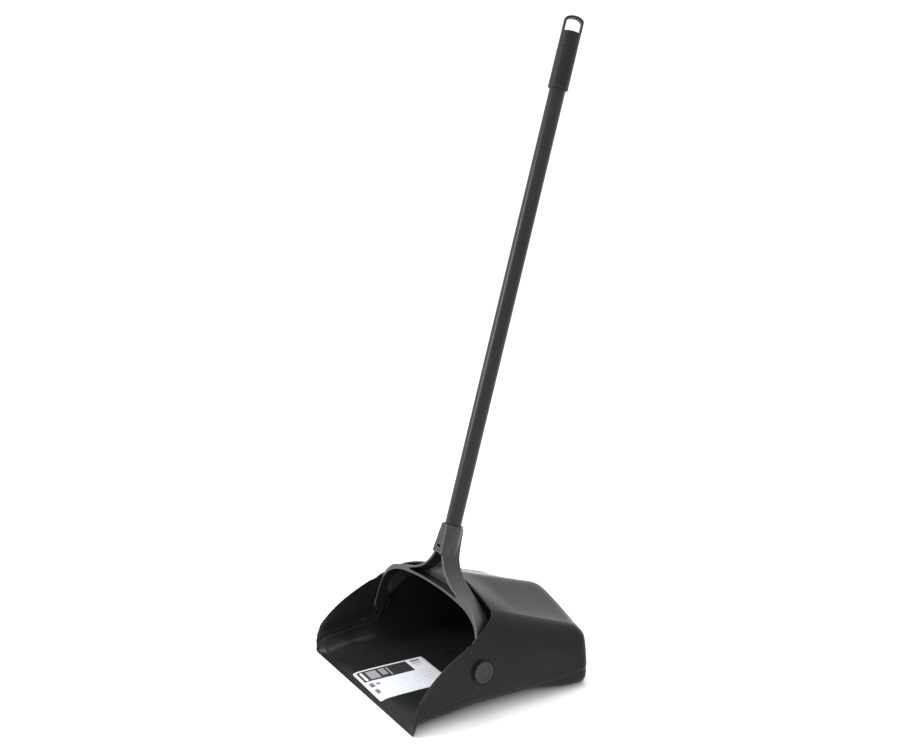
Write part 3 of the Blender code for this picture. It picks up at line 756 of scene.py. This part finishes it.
def loop_outline(half, foot, spring, top, steps=24):
    """Half-round arch standing on two straight sides, in a plane, as a closed outline."""
    ring = [(-half, foot), (half, foot), (half, spring)]
    for step in range(1, steps):
        angle = math.pi * step / steps
        ring.append((half * math.cos(angle), spring + (top - spring) * math.sin(angle)))
    ring.append((-half, spring))
    return ring


def make_cap():
    """Hanging cap: a hollow plug over the tube's end, with a D-shaped loop on top."""
    low = GRIP_TOP + GAP
    radius = GRIP_R - 0.0001
    inner = SLEEVE_R + GAP
    place = HINGE_PLACE @ Matrix.Rotation(-LOOP_TURN, 4, "Z")
    cap = add_object("cap", turned("cap", [
        (0.0, TUBE_TOP + GAP), (inner, TUBE_TOP + GAP), (inner, low), (radius, low),
        (radius, CAP_TOP), (0.0, CAP_TOP)], 128), place)
    outer = loop_outline(radius, CAP_TOP - 0.004, LOOP_TOP - 0.0085, LOOP_TOP)
    inside = loop_outline(radius - 0.0034, CAP_TOP, LOOP_TOP - 0.0095, LOOP_TOP - 0.0032)
    loop = add_object("loop", loft("loop", [[Vector((x, y, z)) for y, z in outer]
                                            for x in (-0.0058, 0.0058)]), place)
    keep = add_object("keep", turned("keep", [(0.0, 0.8), (radius, 0.8), (radius, 0.95),
                                              (0.0, 0.95)], 128), place)
    window = add_object("window", loft("window", [[Vector((x, y, z)) for y, z in inside]
                                                  for x in (-0.02, 0.02)]), place)
    boolean(loop, keep, "INTERSECT")
    boolean(loop, window, "DIFFERENCE")
    boolean(cap, loop, "UNION")
    moulded(cap, [loop, keep, window], 0.0004, 3)
    return cap


# ---- label ------------------------------------------------------------------------------
def make_label():
    """Thin sticker that follows the floor, drawn in its own axes about its middle."""
    place = Matrix.Translation((LABEL_X, LIP_Y + LABEL_DEPTH, 0.0)) \
        @ Matrix.Rotation(LABEL_TURN, 4, "Z")
    across_steps = 24
    along_steps = 60
    half_width = 0.5 * LABEL_WIDTH
    half_length = 0.5 * LABEL_LENGTH
    corner = 0.0016
    points = []
    for row in range(along_steps + 1):
        along = mix(-half_length, half_length, row / along_steps)
        to_end = half_length - abs(along)
        pull = 0.0
        if to_end < corner:
            pull = corner - math.sqrt(max(0.0, corner ** 2 - (corner - to_end) ** 2))
        for column in range(across_steps + 1):
            across = mix(-half_width + pull, half_width - pull, column / across_steps)
            world = place @ Vector((across, along, 0.0))
            depth = world.y - LIP_Y
            thick = PAN_WALL * mix(1.0, LIP_SHARE, 1.0 - smooth(depth / LIP_TAPER))
            share = abs(world.x) / (wall_half_width(depth) - floor_fillet(depth))
            top = floor_height(share, depth) + thick + LABEL_LIFT
            points.append(Vector((across, along, top)))
    faces = []
    for row in range(along_steps):
        for column in range(across_steps):
            first = row * (across_steps + 1) + column
            after = first + across_steps + 1
            faces.append((first, first + 1, after + 1, after))
    label = add_object("label", mesh_from("label", points, faces, False), place)
    paper = label.modifiers.new("Paper", "SOLIDIFY")
    paper.thickness = LABEL_THICK
    paper.offset = 1.0
    apply_modifiers(label)
    return label


# ---- materials --------------------------------------------------------------------------
class Nodes:
    """A material's node tree, with short ways to add and join nodes."""

    def __init__(self, name):
        self.material = bpy.data.materials.new(name)
        self.material.use_nodes = True
        self.tree = self.material.node_tree
        self.shader = self.tree.nodes["Principled BSDF"]

    def add(self, kind, inputs=None, **settings):
        node = self.tree.nodes.new(kind)
        for key, value in settings.items():
            setattr(node, key, value)
        for key, value in (inputs or {}).items():
            if isinstance(value, bpy.types.NodeSocket):
                self.tree.links.new(value, node.inputs[key])
            else:
                node.inputs[key].default_value = value
        return node

    def math(self, operation, first, second=0.0, clamp=False):
        node = self.add("ShaderNodeMath", {0: first, 1: second}, operation=operation)
        node.use_clamp = clamp
        return node.outputs[0]

    def place(self):
        return self.add("ShaderNodeTexCoord").outputs["Object"]

    def noise(self, place, scale, detail=2.0, roughness=0.5):
        return self.add("ShaderNodeTexNoise", {"Vector": place, "Scale": scale,
                                               "Detail": detail, "Roughness": roughness}
                        ).outputs["Fac"]

    def stretched(self, place, scales):
        return self.add("ShaderNodeMapping", {"Vector": place, "Scale": scales}
                        ).outputs["Vector"]

    def spread(self, value, low, high, out_low, out_high):
        return self.add("ShaderNodeMapRange", {"Value": value, "From Min": low,
                                               "From Max": high, "To Min": out_low,
                                               "To Max": out_high}).outputs["Result"]

    def blend(self, share, first, second):
        node = self.add("ShaderNodeMix", data_type="RGBA")
        for socket, value in ((node.inputs[0], share), (node.inputs[6], first),
                              (node.inputs[7], second)):
            if isinstance(value, bpy.types.NodeSocket):
                self.tree.links.new(value, socket)
            elif socket is node.inputs[0]:
                socket.default_value = value
            else:
                socket.default_value = (*value, 1.0)
        return node.outputs[2]

    def join(self, value, name):
        self.tree.links.new(value, self.shader.inputs[name])

    def bump(self, height, strength, distance):
        return self.add("ShaderNodeBump", {"Height": height, "Strength": strength,
                                           "Distance": distance}).outputs["Normal"]


def moulded_plastic(name, colour, light, roughness, specular, grain=1400.0, flow=11.0,
                    long_axis=False):
    """Moulded plastic: fine spark-eroded grain, flow marks and slightly paler rubbed edges."""
    nodes = Nodes(name)
    place = nodes.place()
    fine_place = nodes.stretched(place, (1.0, 1.0, 0.06)) if long_axis else place
    fine = nodes.noise(fine_place, grain, 3.0, 0.6)
    broad = nodes.noise(place, flow, 4.0, 0.55)
    specks = nodes.noise(place, 320.0, 2.0, 0.7)
    edge = nodes.spread(nodes.add("ShaderNodeNewGeometry").outputs["Pointiness"],
                        0.505, 0.56, 0.0, 0.75)
    rubbed = nodes.math("MULTIPLY", edge, nodes.spread(specks, 0.35, 0.65, 0.35, 1.0))
    tone = nodes.blend(nodes.spread(broad, 0.3, 0.7, 0.0, 1.0), colour,
                       tuple(1.35 * c for c in colour))
    nodes.join(nodes.blend(rubbed, tone, light), "Base Color")
    rough = nodes.math("ADD", nodes.spread(broad, 0.3, 0.7, roughness - 0.04, roughness + 0.04),
                       nodes.spread(fine, 0.3, 0.7, -0.03, 0.03))
    nodes.join(nodes.math("SUBTRACT", rough, nodes.math("MULTIPLY", rubbed, 0.06)), "Roughness")
    relief = nodes.math("ADD", fine, nodes.math("MULTIPLY", broad, 2.5))
    nodes.join(nodes.bump(relief, 0.22, 0.00012), "Normal")
    nodes.shader.inputs["Specular IOR Level"].default_value = specular
    return nodes.material


def brushed_metal(name):
    nodes = Nodes(name)
    place = nodes.place()
    lines = nodes.noise(nodes.stretched(place, (1.0, 1.0, 0.02)), 900.0, 3.0, 0.6)
    nodes.join(nodes.blend(lines, (0.50, 0.51, 0.52), (0.66, 0.67, 0.68)), "Base Color")
    nodes.join(nodes.spread(lines, 0.3, 0.7, 0.28, 0.44), "Roughness")
    nodes.join(nodes.bump(lines, 0.2, 0.00005), "Normal")
    nodes.shader.inputs["Metallic"].default_value = 1.0
    return nodes.material


# Printed blocks: left, right, front, back in metres from the label's middle, and darkness.
BAND = (-0.0420, -0.0105, -0.0515, 0.0265)
PRINT_ON_PAPER = [
    BAND + (1.0,),
    (-0.0400, -0.0355, 0.0320, 0.0465, 0.85), (-0.0325, -0.0285, 0.0320, 0.0465, 0.45),
    (-0.0255, -0.0225, 0.0340, 0.0445, 0.30), (-0.0040, 0.0075, -0.0500, -0.0435, 0.85),
    (-0.0015, 0.0035, -0.0405, -0.0340, 0.80), (0.0150, 0.0270, -0.0500, -0.0445, 0.85),
    (0.0320, 0.0345, -0.0480, -0.0455, 0.55),
]
PRINT_ON_BAND = [
    (-0.0385, -0.0135, -0.0480, -0.0445, 1.0), (-0.0380, -0.0150, -0.0395, -0.0240, 0.34),
    (-0.0380, -0.0190, -0.0200, -0.0110, 0.30), (-0.0380, -0.0150, -0.0075, -0.0060, 0.55),
]


def printed_paper(name):
    """Coated white sticker with a dark band, plain blocks and faint rows of grey dashes."""
    nodes = Nodes(name)
    place = nodes.place()

    def block(left, right, front, back):
        middle = (0.5 * (left + right), 0.5 * (front + back), 0.0)
        half = (0.5 * (right - left), 0.5 * (back - front), 1.0)
        shift = nodes.add("ShaderNodeVectorMath", {0: place, 1: middle}, operation="SUBTRACT")
        size = nodes.add("ShaderNodeVectorMath", {0: shift.outputs[0]}, operation="ABSOLUTE")
        over = nodes.add("ShaderNodeVectorMath", {0: size.outputs[0], 1: half},
                         operation="SUBTRACT")
        parts = nodes.add("ShaderNodeSeparateXYZ", {0: over.outputs[0]})
        worst = nodes.math("MAXIMUM", parts.outputs[0], parts.outputs[1])
        return nodes.math("LESS_THAN", worst, 0.0)

    cloud = nodes.noise(place, 60.0, 2.0)
    colour = nodes.blend(cloud, (0.66, 0.68, 0.71), (0.74, 0.75, 0.77))
    edge_out = block(-0.0430, 0.0430, -0.0525, 0.0525)
    edge_in = block(-0.0425, 0.0425, -0.0520, 0.0520)
    frame_line = nodes.math("SUBTRACT", edge_out, edge_in)
    colour = nodes.blend(nodes.math("MULTIPLY", frame_line, 0.5), colour, (0.30, 0.31, 0.33))
    tint = block(-0.0095, 0.0420, -0.0510, 0.0500)
    colour = nodes.blend(nodes.math("MULTIPLY", tint, 0.35), colour, (0.62, 0.66, 0.74))
    parts = nodes.add("ShaderNodeSeparateXYZ", {0: place})
    rows = nodes.math("PINGPONG", parts.outputs[0], 0.0042)
    dash_rows = nodes.math("GREATER_THAN", rows, 0.0034)
    words = nodes.noise(nodes.stretched(place, (40.0, 420.0, 1.0)), 1.0, 0.0)
    dashes = nodes.math("MULTIPLY", dash_rows, nodes.math("GREATER_THAN", words, 0.56))
    text_area = block(0.0000, 0.0400, -0.0280, 0.0460)
    dashes = nodes.math("MULTIPLY", nodes.math("MULTIPLY", dashes, text_area), 0.55)
    colour = nodes.blend(dashes, colour, (0.20, 0.21, 0.23))
    for left, right, front, back, dark in PRINT_ON_PAPER:
        mask = nodes.math("MULTIPLY", block(left, right, front, back), dark)
        colour = nodes.blend(mask, colour, (0.020, 0.021, 0.023))
    for left, right, front, back, pale in PRINT_ON_BAND:
        mask = nodes.math("MULTIPLY", block(left, right, front, back), pale)
        colour = nodes.blend(mask, colour, (0.80, 0.81, 0.83))
    nodes.join(colour, "Base Color")
    fibres = nodes.noise(place, 2200.0, 2.0)
    nodes.join(nodes.spread(fibres, 0.3, 0.7, 0.40, 0.50), "Roughness")
    nodes.join(nodes.bump(fibres, 0.1, 0.00003), "Normal")
    return nodes.material


# ---- stage ------------------------------------------------------------------------------
def make_stage():
    floor = add_object("floor", mesh_from("floor", [
        (-30.0, -30.0, -0.0002), (30.0, -30.0, -0.0002), (30.0, 30.0, -0.0002),
        (-30.0, 30.0, -0.0002)], [(0, 1, 2, 3)], False))
    nodes = Nodes("floor_white")
    cloud = nodes.noise(nodes.place(), 1.5, 3.0)
    nodes.join(nodes.blend(cloud, (0.955, 0.955, 0.955), (0.965, 0.965, 0.965)), "Base Color")
    nodes.shader.inputs["Roughness"].default_value = 0.9
    nodes.shader.inputs["Specular IOR Level"].default_value = 0.1
    floor.data.materials.append(nodes.material)


def area_light(name, place, aim, size, power):
    lamp = bpy.data.lights.new(name, "AREA")
    lamp.shape = "RECTANGLE"
    lamp.size, lamp.size_y = size
    lamp.energy = power
    thing = bpy.data.objects.new(name, lamp)
    bpy.context.scene.collection.objects.link(thing)
    thing.location = place
    thing.rotation_mode = "QUATERNION"
    thing.rotation_quaternion = (Vector(place) - Vector(aim)).to_track_quat("Z", "Y")
    return thing


def make_lights():
    world = bpy.data.worlds.new("studio")
    bpy.context.scene.world = world
    world.use_nodes = True
    world.node_tree.nodes["Background"].inputs["Color"].default_value = (1.0, 1.0, 1.0, 1.0)
    world.node_tree.nodes["Background"].inputs["Strength"].default_value = 1.18
    area_light("top_box", (-0.3, 0.2, 2.6), (0.0, 0.05, 0.2), (1.6, 1.6), 30.0)
    area_light("left_box", (-0.9, -2.2, 1.2), (0.0, 0.0, 0.4), (0.9, 1.6), 46.0)


def make_camera():
    """A little above the pan and well to its right, as the pan is usually shown."""
    azimuth = math.radians(58.908)
    pitch = math.radians(6.9675)
    distance = 1.5454
    back = Vector((math.sin(azimuth) * math.cos(pitch), -math.cos(azimuth) * math.cos(pitch),
                   math.sin(pitch)))
    right = Vector((math.cos(azimuth), math.sin(azimuth), 0.0))
    target = right * -0.0064 + Vector((0.0, LIP_Y + 0.15, 0.5302))
    lens = bpy.data.cameras.new("camera")
    lens.sensor_width = 36.0
    lens.lens = 44.755
    lens.shift_y = -0.0833
    camera = bpy.data.objects.new("camera", lens)
    bpy.context.scene.collection.objects.link(camera)
    camera.location = target + back * distance
    camera.rotation_mode = "QUATERNION"
    camera.rotation_quaternion = back.to_track_quat("Z", "Y")
    bpy.context.scene.camera = camera


# ---- assembly ---------------------------------------------------------------------------
def fit(piece, body, node, material):
    piece.data.materials.clear()
    piece.data.materials.append(material)
    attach(piece, body)
    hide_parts(node)


def dress(node, material):
    """Gives a frame node that stays in view a finished material."""
    mesh = frame["nodes"][node].data
    mesh.materials.clear()
    mesh.materials.append(material)


def build():
    pan_plastic = moulded_plastic("pan_plastic", (0.0105, 0.0110, 0.0112),
                                  (0.050, 0.052, 0.053), 0.28, 0.10)
    yoke_plastic = moulded_plastic("yoke_plastic", (0.0095, 0.0100, 0.0100),
                                   (0.070, 0.072, 0.073), 0.30, 0.55)
    rivet_plastic = moulded_plastic("rivet_plastic", (0.0075, 0.0075, 0.0080),
                                    (0.045, 0.045, 0.047), 0.40, 0.40)
    vinyl = moulded_plastic("sleeve_vinyl", (0.0085, 0.0085, 0.0090),
                            (0.030, 0.030, 0.032), 0.30, 0.26, 1100.0, 9.0, True)
    rubber = moulded_plastic("grip_rubber", (0.0045, 0.0045, 0.0045),
                             (0.025, 0.025, 0.025), 0.42, 0.26, 1700.0, 14.0)
    fit(make_pan(), "pan", "pan_body", pan_plastic)
    fit(make_label(), "pan", "info_label", printed_paper("label_paper"))
    fit(make_yoke(), "handle", "yoke", yoke_plastic)
    for side, word in ((-1, "left"), (1, "right")):
        fit(make_rivet(side, word), "handle", f"pivot_rivet_{word}",
            rivet_plastic)
    fit(make_sleeve(), "handle", "vinyl_sleeve", vinyl)
    fit(make_grip(), "handle", "hand_grip", rubber)
    fit(make_cap(), "handle", "hang_cap", rubber)
    dress("handle_tube", brushed_metal("tube_aluminium"))
    dress("tube_foot_plug", rivet_plastic)


bpy.context.scene.view_settings.view_transform = "Standard"
make_camera()
make_stage()
make_lights()
build()
